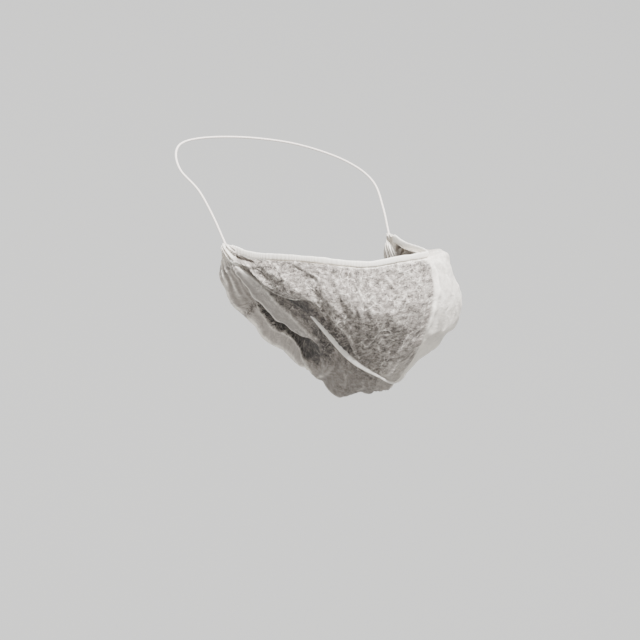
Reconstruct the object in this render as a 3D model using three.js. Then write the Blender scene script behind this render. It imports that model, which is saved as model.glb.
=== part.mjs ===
// Disposable beard net: a pouch of thin nonwoven cloth under an elastic band, with a second band
// under it and a ruffle below that. Both ends are gathered to a bunch, and one thin elastic goes
// from bunch to bunch in a loop behind. Millimetres, +Z up. The origin is midway between the two
// bunches, the front is toward -Y and the left end, as it is worn, toward +X.

import * as THREE from 'three';

// Driving dimensions
const HALF_WIDTH = 72;
const FACE_REACH = 106.5;
const CHIN_DROP = 102;
const PUFF_REACH = 23;
const NET_WALL = 1;
const SEAM_GAP = 0.3;
const BUNCH_GAP = 0.8;
const UPPER_BAND_WIDTH = 4;
const UPPER_BAND_THICKNESS = 1.6;
const LOWER_BAND_WIDTH = 4;
const LOWER_BAND_THICKNESS = 1.6;
const BUNCH_LENGTH = 13;
const BUNCH_THICKNESS = 6;
const BUNCH_RIBS = 5;
const BUNCH_RIB_HEIGHT = 0.5;
const FOLD_HEIGHT = 6;
const RUFFLE_HEIGHT = 3.6;
const RUFFLE_WAVES = 11;
const ELASTIC_DIAMETER = 1.6;
const HEAD_BACK = 112;
const LOOP_RISE = 70;

// Seen from above, the upper band is rounder at its sides than at its middle.
const CHEEK_ROUNDNESS = 2.2;
const MOUTH_ROUNDNESS = 1.4;

// How finely the cloth, bands and elastic are divided
const CLOTH_COLUMNS = 60;
const POUCH_ROWS = 20;
const SKIRT_ROWS = 8;
const BUNCH_COLUMNS = 6;
const BUNCH_ROWS = 20;
const BAND_STEPS = 60;
const ELASTIC_STEPS = 76;
const ELASTIC_SIDES = 8;

// One row for each section, from the right end to the left. turn is the angle round the band's
// oval in degrees and rise the upper band's height. out and down give the cloth's fullest point
// from the band, and square how sharply it stands out under the band. Heights are shares of
// CHIN_DROP and out is a share of PUFF_REACH.
const BAND_SECTIONS = [
  { turn: 0, rise: 0.020, out: 0.03, down: 0.02, square: 0.0 },
  { turn: 12, rise: 0.000, out: 0.04, down: 0.03, square: 0.0 },
  { turn: 23, rise: -0.028, out: 0.09, down: 0.06, square: 0.1 },
  { turn: 36, rise: -0.029, out: 0.28, down: 0.13, square: 0.2 },
  { turn: 50, rise: -0.036, out: 0.42, down: 0.19, square: 0.2 },
  { turn: 62, rise: -0.053, out: 0.46, down: 0.25, square: 0.2 },
  { turn: 74, rise: -0.060, out: 0.42, down: 0.31, square: 0.2 },
  { turn: 90, rise: -0.031, out: 0.44, down: 0.35, square: 0.2 },
  { turn: 108, rise: -0.025, out: 0.65, down: 0.38, square: 0.4 },
  { turn: 126, rise: -0.037, out: 1.00, down: 0.36, square: 1.0 },
  { turn: 144, rise: -0.034, out: 0.96, down: 0.30, square: 1.0 },
  { turn: 157, rise: -0.028, out: 0.50, down: 0.15, square: 0.6 },
  { turn: 168, rise: 0.000, out: 0.17, down: 0.06, square: 0.2 },
  { turn: 180, rise: 0.020, out: 0.03, down: 0.02, square: 0.0 },
];

// The same sections further down: chin is on the lower band and edge on the ruffle's free edge.
// Across is a share of HALF_WIDTH, ahead of FACE_REACH and up of CHIN_DROP.
const JAW_SECTIONS = [
  { chin: { across: -1.00, ahead: 0.000, up: -0.030 }, edge: { across: -0.99, ahead: -0.020, up: -0.070 } },
  { chin: { across: -0.99, ahead: 0.110, up: -0.090 }, edge: { across: -0.99, ahead: -0.055, up: -0.180 } },
  { chin: { across: -0.93, ahead: 0.263, up: -0.165 }, edge: { across: -0.92, ahead: 0.000, up: -0.350 } },
  { chin: { across: -0.83, ahead: 0.470, up: -0.285 }, edge: { across: -0.74, ahead: 0.165, up: -0.555 } },
  { chin: { across: -0.69, ahead: 0.657, up: -0.412 }, edge: { across: -0.59, ahead: 0.290, up: -0.690 } },
  { chin: { across: -0.53, ahead: 0.742, up: -0.570 }, edge: { across: -0.42, ahead: 0.430, up: -0.835 } },
  { chin: { across: -0.33, ahead: 0.790, up: -0.725 }, edge: { across: -0.22, ahead: 0.535, up: -0.985 } },
  { chin: { across: -0.08, ahead: 0.817, up: -0.833 }, edge: { across: 0.00, ahead: 0.601, up: -0.968 } },
  { chin: { across: 0.14, ahead: 0.790, up: -0.892 }, edge: { across: 0.20, ahead: 0.620, up: -0.930 } },
  { chin: { across: 0.44, ahead: 0.657, up: -0.843 }, edge: { across: 0.47, ahead: 0.432, up: -0.824 } },
  { chin: { across: 0.72, ahead: 0.451, up: -0.647 }, edge: { across: 0.70, ahead: 0.244, up: -0.647 } },
  { chin: { across: 0.89, ahead: 0.245, up: -0.345 }, edge: { across: 0.88, ahead: 0.040, up: -0.430 } },
  { chin: { across: 0.98, ahead: 0.100, up: -0.130 }, edge: { across: 0.98, ahead: -0.035, up: -0.220 } },
  { chin: { across: 1.00, ahead: 0.000, up: -0.030 }, edge: { across: 0.99, ahead: -0.020, up: -0.070 } },
];

const SECTIONS = BAND_SECTIONS.map((row, index) => ({ ...row, ...JAW_SECTIONS[index] }));

// The cloth's shoulder, between the band and its fullest point: its share of the way out and of the
// way down, and how much of each a fully square section adds.
const SHOULDER = { out: 0.5, squareOut: 0.16, down: 0.35, squareDown: -0.3 };

// How far down the cloth its five lines lie, as a share of the way from upper band to free edge
const LINES = { top: 0, shoulder: 0.16, belly: 0.36, chin: 0.64, edge: 1 };

// Folds and creases in the cloth. Each runs from a place to a place, both given as the share of the
// way across from the right end and the share of the way down. sag bows it downward, wide is its
// half width as a share of the way down, and high is a share of FOLD_HEIGHT, below zero for a hollow.
const FOLDS = [
  { name: 'ear pleat', from: [0.03, 0.30], to: [0.16, 0.22], sag: 0.00, wide: 0.08, high: 0.3 },
  { name: 'cheek pleat', from: [0.05, 0.60], to: [0.19, 0.36], sag: 0.00, wide: 0.08, high: 0.5 },
  { name: 'jaw fold', from: [0.12, 0.48], to: [0.40, 0.36], sag: 0.05, wide: 0.09, high: 1.0 },
  { name: 'jaw fold pocket', from: [0.15, 0.58], to: [0.36, 0.54], sag: 0.02, wide: 0.06, high: -0.9 },
  { name: 'near ruffle strip', from: [0.04, 0.74], to: [0.36, 0.74], sag: 0.01, wide: 0.07, high: 1.0 },
  { name: 'strip hollow', from: [0.12, 0.86], to: [0.38, 0.83], sag: 0.01, wide: 0.06, high: -0.9 },
  { name: 'near hem roll', from: [0.08, 0.95], to: [0.39, 0.98], sag: 0.00, wide: 0.06, high: 0.6 },
  { name: 'front crease', from: [0.49, 0.04], to: [0.56, 0.42], sag: 0.00, wide: 0.07, high: 0.4 },
  { name: 'mouth crease', from: [0.40, 0.12], to: [0.48, 0.38], sag: 0.00, wide: 0.07, high: 0.4 },
  { name: 'level crease', from: [0.36, 0.46], to: [0.56, 0.41], sag: -0.04, wide: 0.05, high: -0.4 },
  { name: 'chin crease', from: [0.41, 0.46], to: [0.49, 0.62], sag: 0.00, wide: 0.06, high: 0.4 },
  { name: 'puff dent', from: [0.64, 0.25], to: [0.79, 0.28], sag: 0.00, wide: 0.07, high: -0.6 },
  { name: 'lower puff fold', from: [0.62, 0.46], to: [0.84, 0.42], sag: 0.03, wide: 0.07, high: 0.8 },
  { name: 'far jaw fold', from: [0.68, 0.57], to: [0.90, 0.54], sag: 0.00, wide: 0.06, high: -0.7 },
  { name: 'far cheek pleat', from: [0.82, 0.34], to: [0.96, 0.50], sag: 0.00, wide: 0.07, high: 0.5 },
  { name: 'far ruffle strip', from: [0.69, 0.80], to: [0.95, 0.74], sag: 0.02, wide: 0.08, high: 0.7 },
];

// The cloth is about this many times as long, end to end, as it is deep.
const CLOTH_ASPECT = 2.3;

// Share of the way down over which a band holds the cloth still
const HELD_SHARE = 0.03;

// Half of the elastic's route, from a bunch to the middle of its loop behind. Across is a
// share of HALF_WIDTH, back of HEAD_BACK and up of LOOP_RISE; the other half mirrors it.
const ELASTIC_ROUTE = [
  { place: 'in front of the ear', across: 1.035, back: 0.085, up: 0.31 },
  { place: 'over the ear', across: 1.065, back: 0.205, up: 0.55 },
  { place: 'behind the ear', across: 1.030, back: 0.440, up: 0.74 },
  { place: 'side of the head', across: 0.760, back: 0.735, up: 0.91 },
  { place: 'back corner', across: 0.420, back: 0.930, up: 0.98 },
  { place: 'middle of the back', across: 0.000, back: 1.000, up: 1.00 },
];

// Cubic through the values at the knots, its slopes taken from the neighbouring values.
function smoothThrough(knots, values, at) {
  const last = knots.length - 1;
  let i = 0;
  while (i < last - 1 && at > knots[i + 1]) {
    i += 1;
  }
  const slope = (j) => {
    const before = Math.max(j - 1, 0);
    const after = Math.min(j + 1, last);
    return (values[after] - values[before]) / (knots[after] - knots[before]);
  };
  const span = knots[i + 1] - knots[i];
  const t = (at - knots[i]) / span;
  const t2 = t * t;
  const t3 = t2 * t;
  return (2 * t3 - 3 * t2 + 1) * values[i] + (t3 - 2 * t2 + t) * span * slope(i)
    + (3 * t2 - 2 * t3) * values[i + 1] + (t3 - t2) * span * slope(i + 1);
}

const ROW_PLACES = SECTIONS.map((row, index) => index / (SECTIONS.length - 1));

function column(read, across) {
  return smoothThrough(ROW_PLACES, SECTIONS.map(read), across);
}

// The upper band's line seen from above, for an angle round its oval.
function faceLine(turn) {
  const angle = THREE.MathUtils.degToRad(turn);
  const side = Math.cos(angle);
  const front = Math.max(Math.sin(angle), 0);
  return new THREE.Vector3(
    -HALF_WIDTH * Math.sign(side) * Math.abs(side) ** (2 / CHEEK_ROUNDNESS),
    -FACE_REACH * front ** (2 / MOUTH_ROUNDNESS),
    0,
  );
}

function faceOutward(turn) {
  const step = 4;
  const along = faceLine(Math.min(turn + step, 180)).sub(faceLine(Math.max(turn - step, 0)));
  return new THREE.Vector3(along.y, -along.x, 0).normalize();
}

function bandPoint(across) {
  const point = faceLine(column((row) => row.turn, across));
  point.z = column((row) => row.rise, across) * CHIN_DROP;
  return point;
}

// Half the band's width, the seam and half the wall: how far the cloth starts under the band's line
const BAND_TO_CLOTH = UPPER_BAND_WIDTH / 2 + SEAM_GAP + NET_WALL / 2;

function sectionPoints(across) {
  const outward = faceOutward(column((row) => row.turn, across));
  const out = column((row) => row.out, across) * PUFF_REACH;
  const down = column((row) => row.down, across) * CHIN_DROP;
  const square = column((row) => row.square, across);
  const place = (read) => new THREE.Vector3(
    column((row) => read(row).across, across) * HALF_WIDTH,
    -column((row) => read(row).ahead, across) * FACE_REACH,
    column((row) => read(row).up, across) * CHIN_DROP,
  );
  const band = bandPoint(across);
  const top = band.clone();
  top.z -= BAND_TO_CLOTH;
  const shoulderOut = out * (SHOULDER.out + SHOULDER.squareOut * square);
  const shoulderDown = down * (SHOULDER.down + SHOULDER.squareDown * square);
  const shoulder = band.clone().addScaledVector(outward, shoulderOut);
  shoulder.z -= Math.max(shoulderDown, BAND_TO_CLOTH);
  const belly = band.clone().addScaledVector(outward, out);
  belly.z -= down + BAND_TO_CLOTH / 2;
  return [top, shoulder, belly, place((row) => row.chin), place((row) => row.edge)];
}

const LINE_PLACES = Object.values(LINES);

function plainCloth(across, downward) {
  const points = sectionPoints(across);
  return new THREE.Vector3(
    smoothThrough(LINE_PLACES, points.map((point) => point.x), downward),
    smoothThrough(LINE_PLACES, points.map((point) => point.y), downward),
    smoothThrough(LINE_PLACES, points.map((point) => point.z), downward),
  );
}

function normalOf(surface, across, downward) {
  const step = 0.004;
  const left = surface(Math.max(across - step, 0), downward);
  const right = surface(Math.min(across + step, 1), downward);
  const upper = surface(across, Math.max(downward - step, 0));
  const lower = surface(across, Math.min(downward + step, 1));
  return lower.sub(upper).cross(right.sub(left)).normalize();
}

// Height of one fold at a place on the cloth: a smooth ridge that fades out at both of its ends.
function foldHeight(fold, across, downward) {
  const [fromAcross, fromDown] = fold.from;
  const runAcross = (fold.to[0] - fromAcross) * CLOTH_ASPECT;
  const runDown = fold.to[1] - fromDown;
  const offAcross = (across - fromAcross) * CLOTH_ASPECT;
  const offDown = downward - fromDown;
  const runLength = Math.hypot(runAcross, runDown);
  const along = (offAcross * runAcross + offDown * runDown) / runLength ** 2;
  if (along <= 0 || along >= 1) {
    return 0;
  }
  const bow = fold.sag * 4 * along * (1 - along);
  const aside = (offDown * runAcross - offAcross * runDown) / runLength - bow;
  const fade = Math.sin(Math.PI * along) ** 0.7;
  return fold.high * FOLD_HEIGHT * fade * Math.exp(-((aside / fold.wide) ** 2));
}

// The ruffle's waves grow from the lower band to the free edge and die out at the bunches. They
// drift to and fro by a share of a wave, so that they aren't all alike.
function ruffleHeight(across, downward) {
  const drift = 0.2 * Math.sin(7 * across);
  const below = Math.max((downward - LINES.chin) / (LINES.edge - LINES.chin), 0);
  const middle = Math.sin(Math.PI * across) ** 0.6;
  const wave = Math.cos(2 * Math.PI * (RUFFLE_WAVES * across + drift));
  return RUFFLE_HEIGHT / 2 * below ** 1.5 * middle * wave;
}

// The two bands hold the cloth: no fold lifts it where it is joined to them.
function bandHold(downward) {
  const byUpper = Math.exp(-(((downward - LINES.top) / HELD_SHARE) ** 2));
  const byLower = Math.exp(-(((downward - LINES.chin) / HELD_SHARE) ** 2));
  return (1 - byUpper) * (1 - byLower);
}

function cloth(across, downward) {
  const folds = FOLDS.reduce((sum, fold) => sum + foldHeight(fold, across, downward), 0);
  const height = folds * bandHold(downward) + ruffleHeight(across, downward);
  const normal = normalOf(plainCloth, across, downward);
  return plainCloth(across, downward).addScaledVector(normal, height);
}

function meshGeometry(places, triangles) {
  const geometry = new THREE.BufferGeometry();
  const numbers = places.flatMap((place) => place.toArray());
  geometry.setAttribute('position', new THREE.Float32BufferAttribute(numbers, 3));
  geometry.setIndex(triangles);
  geometry.computeVertexNormals();
  return geometry;
}

// Closed wall round a grid of points: each has a place, a normal and half the wall's thickness.
function wallGeometry(columns, rows, pointAt) {
  const outer = [];
  const inner = [];
  for (let i = 0; i <= columns; i += 1) {
    for (let j = 0; j <= rows; j += 1) {
      const { place, normal, half } = pointAt(i / columns, j / rows);
      outer.push(place.clone().addScaledVector(normal, half));
      inner.push(place.clone().addScaledVector(normal, -half));
    }
  }
  const count = outer.length;
  const at = (i, j) => i * (rows + 1) + j;
  const triangles = [];
  const quad = (a, b, c, d) => triangles.push(a, b, c, a, c, d);
  for (let i = 0; i < columns; i += 1) {
    for (let j = 0; j < rows; j += 1) {
      const corners = [at(i, j), at(i, j + 1), at(i + 1, j + 1), at(i + 1, j)];
      quad(...corners);
      quad(...corners.map((index) => index + count).reverse());
    }
    quad(at(i, 0), at(i + 1, 0), at(i + 1, 0) + count, at(i, 0) + count);
    quad(at(i + 1, rows), at(i, rows), at(i, rows) + count, at(i + 1, rows) + count);
  }
  for (let j = 0; j < rows; j += 1) {
    quad(at(0, j + 1), at(0, j), at(0, j) + count, at(0, j + 1) + count);
    quad(at(columns, j), at(columns, j + 1), at(columns, j + 1) + count, at(columns, j) + count);
  }
  return meshGeometry([...outer, ...inner], triangles);
}

// Share of the way across at a distance along the upper band from the right end.
function acrossAt(distance) {
  const step = 0.001;
  let across = 0;
  let length = 0;
  while (length < distance) {
    length += bandPoint(across + step).distanceTo(bandPoint(across));
    across += step;
  }
  return across;
}

const BUNCH_END = acrossAt(BUNCH_LENGTH);
const CLOTH_START = acrossAt(BUNCH_LENGTH + BUNCH_GAP);

function spread(from, to, share) {
  return from + (to - from) * share;
}

// Share of the way down at a distance above (side -1) or below (side 1) the lower band's line
function besideChin(across, distance, side) {
  const step = 0.002 * side;
  const line = plainCloth(across, LINES.chin);
  let downward = LINES.chin;
  while (plainCloth(across, downward).distanceTo(line) < distance) {
    downward += step;
  }
  return downward;
}

const CHIN_CLEARANCE = LOWER_BAND_WIDTH / 2 + 1.5 * SEAM_GAP;

function clothWall(rows, fromDown, toDown) {
  return wallGeometry(CLOTH_COLUMNS, rows, (i, j) => {
    const across = spread(CLOTH_START, 1 - CLOTH_START, i);
    const downward = spread(fromDown(across), toDown(across), j);
    return {
      place: cloth(across, downward),
      normal: normalOf(cloth, across, downward),
      half: NET_WALL / 2,
    };
  });
}

function pouchGeometry() {
  return clothWall(
    POUCH_ROWS,
    () => LINES.top,
    (across) => besideChin(across, CHIN_CLEARANCE, -1),
  );
}

function skirtGeometry() {
  return clothWall(
    SKIRT_ROWS,
    (across) => besideChin(across, CHIN_CLEARANCE, 1),
    () => LINES.edge,
  );
}

// How far a bunch's top rises above the cloth's own top, so that it ends level with the band
const BUNCH_RISE = BAND_TO_CLOTH + UPPER_BAND_WIDTH / 2;

// How much thinner a bunch is at its upper and lower edges, and at the end by the pouch
const BUNCH_EDGE_THINNING = 0.55;
const BUNCH_END_THINNING = 0.55;

// A bunch is the cloth's own fan between the elastic and the pouch, packed thick, with rounded ribs.
function bunchGeometry(farSide) {
  return wallGeometry(BUNCH_COLUMNS, BUNCH_ROWS, (i, j) => {
    const share = spread(0, BUNCH_END, i);
    const across = farSide ? 1 - BUNCH_END + share : share;
    const fromEar = farSide ? 1 - i : i;
    const place = plainCloth(across, j);
    place.z += BUNCH_RISE * (1 - j) ** 3;
    const edgeShare = 1 - BUNCH_EDGE_THINNING * (2 * j - 1) ** 2;
    const endShare = 1 - BUNCH_END_THINNING * fromEar ** 2;
    const rib = BUNCH_RIB_HEIGHT * Math.cos(2 * Math.PI * BUNCH_RIBS * j);
    return {
      place,
      normal: faceOutward(column((row) => row.turn, across)),
      half: (BUNCH_THICKNESS / 2 + rib) * edgeShare * endShare,
    };
  });
}

// A band's flat section with its corners taken off, as shares of half its width and thickness
const BAND_SECTION = [
  { across: -1, out: -0.45 },
  { across: -1, out: 0.45 },
  { across: -0.72, out: 1 },
  { across: 0.72, out: 1 },
  { across: 1, out: 0.45 },
  { across: 1, out: -0.45 },
  { across: 0.72, out: -1 },
  { across: -0.72, out: -1 },
];

// Closed strip carried along a line with that section.
function bandGeometry(width, thickness, frameAt) {
  const places = [];
  for (let i = 0; i <= BAND_STEPS; i += 1) {
    const share = spread(CLOTH_START, 1 - CLOTH_START, i / BAND_STEPS);
    const { place, widthways, outward } = frameAt(share);
    for (const corner of BAND_SECTION) {
      places.push(
        place.clone()
          .addScaledVector(widthways, corner.across * width / 2)
          .addScaledVector(outward, corner.out * thickness / 2),
      );
    }
  }
  const sides = BAND_SECTION.length;
  const triangles = [];
  for (let i = 0; i < BAND_STEPS; i += 1) {
    for (let k = 0; k < sides; k += 1) {
      const a = i * sides + k;
      const b = i * sides + (k + 1) % sides;
      triangles.push(a, b, b + sides, a, b + sides, a + sides);
    }
  }
  for (let k = 1; k < sides - 1; k += 1) {
    const last = BAND_STEPS * sides;
    triangles.push(0, k + 1, k, last, last + k, last + k + 1);
  }
  return meshGeometry(places, triangles);
}

function upperBandGeometry() {
  return bandGeometry(UPPER_BAND_WIDTH, UPPER_BAND_THICKNESS, (across) => ({
    place: bandPoint(across),
    widthways: new THREE.Vector3(0, 0, -1),
    outward: faceOutward(column((row) => row.turn, across)),
  }));
}

// The lower band stands half way between the cloth's own slope and upright, so it faces outward.
function lowerBandGeometry() {
  return bandGeometry(LOWER_BAND_WIDTH, LOWER_BAND_THICKNESS, (across) => {
    const step = 0.01;
    const along = plainCloth(Math.min(across + step, 1), LINES.chin)
      .sub(plainCloth(Math.max(across - step, 0), LINES.chin))
      .normalize();
    const outward = normalOf(plainCloth, across, LINES.chin)
      .add(faceOutward(column((row) => row.turn, across)))
      .normalize();
    const widthways = outward.clone().cross(along).negate().normalize();
    return { place: plainCloth(across, LINES.chin), widthways, outward };
  });
}

function elasticGeometry() {
  const start = plainCloth(0, 0);
  start.z += BAND_TO_CLOTH + UPPER_BAND_WIDTH / 2 + SEAM_GAP + ELASTIC_DIAMETER / 2;
  const routePoint = (row, side) => new THREE.Vector3(
    side * row.across * HALF_WIDTH,
    row.back * HEAD_BACK,
    row.up * LOOP_RISE,
  );
  const right = ELASTIC_ROUTE.map((row) => routePoint(row, -1));
  const left = ELASTIC_ROUTE.slice(0, -1).map((row) => routePoint(row, 1)).reverse();
  const end = start.clone().setX(-start.x);
  const route = new THREE.CatmullRomCurve3([start, ...right, ...left, end]);
  const section = new THREE.Shape();
  for (let k = 0; k < ELASTIC_SIDES; k += 1) {
    const angle = 2 * Math.PI * (k + 0.5) / ELASTIC_SIDES;
    const x = ELASTIC_DIAMETER / 2 * Math.cos(angle);
    const y = ELASTIC_DIAMETER / 2 * Math.sin(angle);
    if (k === 0) {
      section.moveTo(x, y);
    } else {
      section.lineTo(x, y);
    }
  }
  return new THREE.ExtrudeGeometry(section, {
    steps: ELASTIC_STEPS,
    bevelEnabled: false,
    extrudePath: route,
  });
}

function soft(color, roughness) {
  return new THREE.MeshStandardMaterial({ color, roughness, metalness: 0 });
}

const netCloth = soft(0xd9d5cf, 0.9);
const bandCloth = soft(0xf4f1ea, 0.7);
const coveredElastic = soft(0xefe4de, 0.8);

const beardNet = new THREE.Group();

function addPiece(name, geometry, material) {
  const piece = new THREE.Mesh(geometry, material);
  piece.name = name;
  beardNet.add(piece);
}

addPiece('pouch', pouchGeometry(), netCloth);
addPiece('chin_skirt', skirtGeometry(), netCloth);
addPiece('upper_band', upperBandGeometry(), bandCloth);
addPiece('lower_band', lowerBandGeometry(), bandCloth);
addPiece('gather_right', bunchGeometry(false), bandCloth);
addPiece('gather_left', bunchGeometry(true), bandCloth);
addPiece('head_elastic', elasticGeometry(), coveredElastic);

export default beardNet;
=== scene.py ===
import math

import bpy
import numpy as np
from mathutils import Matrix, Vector


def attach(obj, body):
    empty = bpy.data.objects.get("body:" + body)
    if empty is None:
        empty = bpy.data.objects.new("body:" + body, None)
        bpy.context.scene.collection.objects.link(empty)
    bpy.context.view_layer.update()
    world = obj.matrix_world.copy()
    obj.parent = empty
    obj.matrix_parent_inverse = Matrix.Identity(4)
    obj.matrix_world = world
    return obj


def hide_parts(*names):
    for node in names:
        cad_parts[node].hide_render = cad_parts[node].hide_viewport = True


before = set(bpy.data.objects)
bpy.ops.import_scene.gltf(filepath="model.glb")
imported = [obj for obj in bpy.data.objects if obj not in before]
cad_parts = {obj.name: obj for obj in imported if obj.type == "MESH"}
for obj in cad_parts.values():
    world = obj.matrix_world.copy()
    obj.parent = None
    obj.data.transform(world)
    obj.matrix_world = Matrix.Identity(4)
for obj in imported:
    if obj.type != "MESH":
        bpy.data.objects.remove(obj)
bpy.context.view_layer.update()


# Camera
# It looks at the net from ahead and to its right, from a little above, through a long lens.
VIEW_AZIMUTH = math.radians(-37)
VIEW_ELEVATION = math.radians(6)
VIEW_DISTANCE = 2.5
LENS_MM = 200
AIM = Vector((0.0036, -0.0097, -0.0535))

toward_camera = Vector((
    math.sin(VIEW_AZIMUTH) * math.cos(VIEW_ELEVATION),
    -math.cos(VIEW_AZIMUTH) * math.cos(VIEW_ELEVATION),
    math.sin(VIEW_ELEVATION),
))
camera = bpy.data.objects.new("camera", bpy.data.cameras.new("camera"))
camera.data.lens = LENS_MM
camera.location = AIM + toward_camera * VIEW_DISTANCE
camera.rotation_euler = toward_camera.to_track_quat("Z", "Y").to_euler()
bpy.context.scene.collection.objects.link(camera)
bpy.context.scene.camera = camera


# Head elastic
# A thin round elastic of rubber threads covered with spun polyester yarn. Its ends are caught in
# the bunches, and from one to the other it rises and runs round behind in a wide taut loop.
HALF_WIDTH = 0.072
LOOP_BACK = 0.112
LOOP_RISE = 0.070
ELASTIC_DIAMETER = 0.0016
ELASTIC_EXIT = (-HALF_WIDTH, 0.0, 0.0051)
ELASTIC_TUCK = 0.004
TUCK_STEPS = 12
ELASTIC_STEPS = 2400
ELASTIC_SIDES = 10
YARN_PITCH = 0.0011
YARN_RELIEF = 0.07
ELASTIC_COLOUR = "#f1e9e2"
ELASTIC_GROOVE_SHADE_COLOUR = "#cdbfb5"

# How far apart the crests of Blender's wave texture lie at a scale of one
WAVE_LENGTH_AT_ONE = 0.314

# A point inside the loop, which the elastic's outer side faces away from
LOOP_MIDDLE = (0, 0.45 * LOOP_BACK, 0.2 * LOOP_RISE)

# Half of the route: across as a share of HALF_WIDTH, back of LOOP_BACK and up of LOOP_RISE
ELASTIC_ROUTE = np.array([
    (1.035, 0.085, 0.31),
    (1.065, 0.205, 0.55),
    (1.030, 0.440, 0.74),
    (0.760, 0.735, 0.91),
    (0.420, 0.930, 0.98),
    (0.000, 1.000, 1.00),
])


def unit(vectors):
    """The same directions, each of length one."""
    return vectors / np.maximum(np.linalg.norm(vectors, axis=-1, keepdims=True), 1e-12)


def cubic_between(t, span, start, end, start_slope, end_slope):
    """The cubic from start to end over a span, with the slopes given at both: the weights of the
    four are 2ttt - 3tt + 1, 3tt - 2ttt, ttt - 2tt + t and ttt - tt, for t from 0 to 1."""
    return (
        (2 * t**3 - 3 * t**2 + 1) * start
        + (t**3 - 2 * t**2 + t) * span * start_slope
        + (3 * t**2 - 2 * t**3) * end
        + (t**3 - t**2) * span * end_slope
    )


def path_through(points, steps):
    """Centripetal Catmull-Rom curve: between two points a cubic whose end slopes come from the
    neighbouring points, each gap counted as the square root of its length."""
    before = 2 * points[:1] - points[1:2]
    after = 2 * points[-1:] - points[-2:-1]
    all_points = np.concatenate([before, points, after])
    gaps = np.sqrt(np.linalg.norm(np.diff(all_points, axis=0), axis=1))[:, None]
    rates = np.diff(all_points, axis=0) / gaps
    wide = (all_points[2:] - all_points[:-2]) / (gaps[:-1] + gaps[1:])
    slopes = rates[:-1] - wide + rates[1:]
    place = np.linspace(0, len(points) - 1, steps + 1)
    at = np.minimum(place.astype(int), len(points) - 2)
    t = (place - at)[:, None]
    return cubic_between(
        t, gaps[1:-1][at], points[at], points[at + 1], slopes[at], slopes[at + 1],
    )


def distances_along(path):
    """How far along the path each of its points lies."""
    return np.concatenate([[0], np.cumsum(np.linalg.norm(np.diff(path, axis=0), axis=1))])


def mesh_piece(name, places, faces, material, flat=None, thickness=None):
    """Object from corner places and faces. flat gives each corner's place on the uncut cloth or
    yarn, in metres, kept as the UV map; thickness adds a wall of that thickness."""
    mesh = bpy.data.meshes.new(name)
    mesh.from_pydata(places.reshape(-1, 3).tolist(), [], faces.tolist())
    mesh.update()
    if flat is not None:
        corner = np.empty(len(mesh.loops), np.int32)
        mesh.loops.foreach_get("vertex_index", corner)
        layer = mesh.uv_layers.new(name="flat")
        layer.uv.foreach_set("vector", flat.reshape(-1, 2)[corner].astype(np.float32).ravel())
    mesh.shade_smooth()
    mesh.materials.append(material)
    piece = bpy.data.objects.new(name, mesh)
    bpy.context.scene.collection.objects.link(piece)
    if thickness:
        wall = piece.modifiers.new("wall", "SOLIDIFY")
        wall.thickness = thickness
        wall.offset = 0
    return piece


def carried(line, wide, wide_way, thick, thick_way):
    """Rings of corners round a line: each point of it, plus two distances along two ways there."""
    return (
        line[:, None]
        + wide[..., None] * wide_way[:, None]
        + thick[..., None] * thick_way[:, None]
    )


def ring_faces(rings, sides):
    """Faces of an open tube whose corners are counted ring after ring."""
    ring, side = np.meshgrid(np.arange(rings - 1), np.arange(sides), indexing="ij")
    a = (ring * sides + side).ravel()
    b = (ring * sides + (side + 1) % sides).ravel()
    return np.stack([a, b, b + sides, a + sides], axis=1)


def flat_places(around, along):
    """Places on the flat yarn or cloth, for distances round a piece and along it."""
    return np.stack(np.broadcast_arrays(around, along), axis=-1)


def colour(hex_code):
    """Linear red, green, blue and alpha of an sRGB hex code."""
    shares = [int(hex_code[i:i + 2], 16) / 255 for i in (1, 3, 5)]
    linear = [s / 12.92 if s <= 0.04045 else ((s + 0.055) / 1.055) ** 2.4 for s in shares]
    return (*linear, 1.0)


def add_node(material, kind, inputs=None, **settings):
    """Adds a shader node, applies its settings, and sets or links its inputs."""
    node = material.node_tree.nodes.new("ShaderNode" + kind)
    for name, value in settings.items():
        setattr(node, name, value)
    for key, value in (inputs or {}).items():
        if isinstance(value, bpy.types.NodeSocket):
            material.node_tree.links.new(value, node.inputs[key])
        else:
            node.inputs[key].default_value = value
    return node


def rescaled(material, value, low, high, start=0.0, end=1.0, **settings):
    """A value that runs from low to high, turned into one that runs from start to end."""
    return add_node(material, "MapRange", {
        "Value": value, "From Min": low, "From Max": high, "To Min": start, "To Max": end,
    }, **settings).outputs[0]


def new_material(name):
    """A material with only its output node."""
    material = bpy.data.materials.new(name)
    material.use_nodes = True
    material.node_tree.nodes.clear()
    return material
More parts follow.
